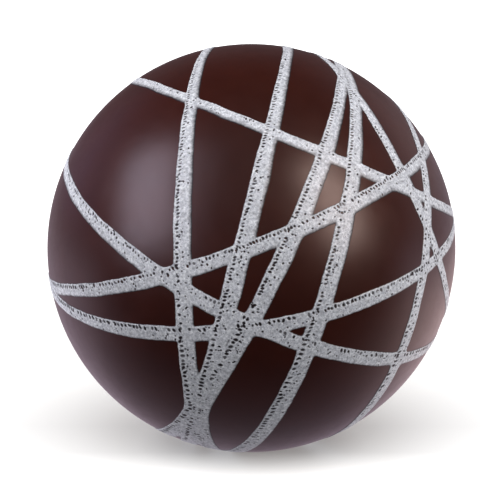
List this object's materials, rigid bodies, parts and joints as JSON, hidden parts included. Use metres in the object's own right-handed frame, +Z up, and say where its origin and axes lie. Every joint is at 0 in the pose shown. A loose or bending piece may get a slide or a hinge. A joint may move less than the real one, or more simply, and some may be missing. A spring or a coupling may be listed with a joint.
{
  "type": "croquet ball",
  "caption": "Full-size croquet ball with a cork and rubber core, a smooth brown two-part cover and white enamel lines trailed around it.",
  "frame": {"origin": "centre of the ball", "axes": "+Z is up as the ball rests, and -Y faces the viewer of the side whose pattern is known; +X is that viewer's right"},
  "size_m": [0.0916, 0.092, 0.0918],
  "materials": {
    "core": "matte",
    "cover": "satin",
    "enamel": "satin"
  },
  "bodies": {
    "root": {"core": "core", "shell_lower": "cover", "shell_upper": "cover", "thread_meridian_left": "enamel", "thread_meridian_middle": "enamel", "thread_meridian_right": "enamel", "thread_meridian_far_right": "enamel", "thread_falling": "enamel", "thread_rising": "enamel", "thread_level": "enamel", "thread_crown": "enamel", "thread_cheek_upper": "enamel", "thread_cheek_lower": "enamel"}
  },
  "joints": []
}
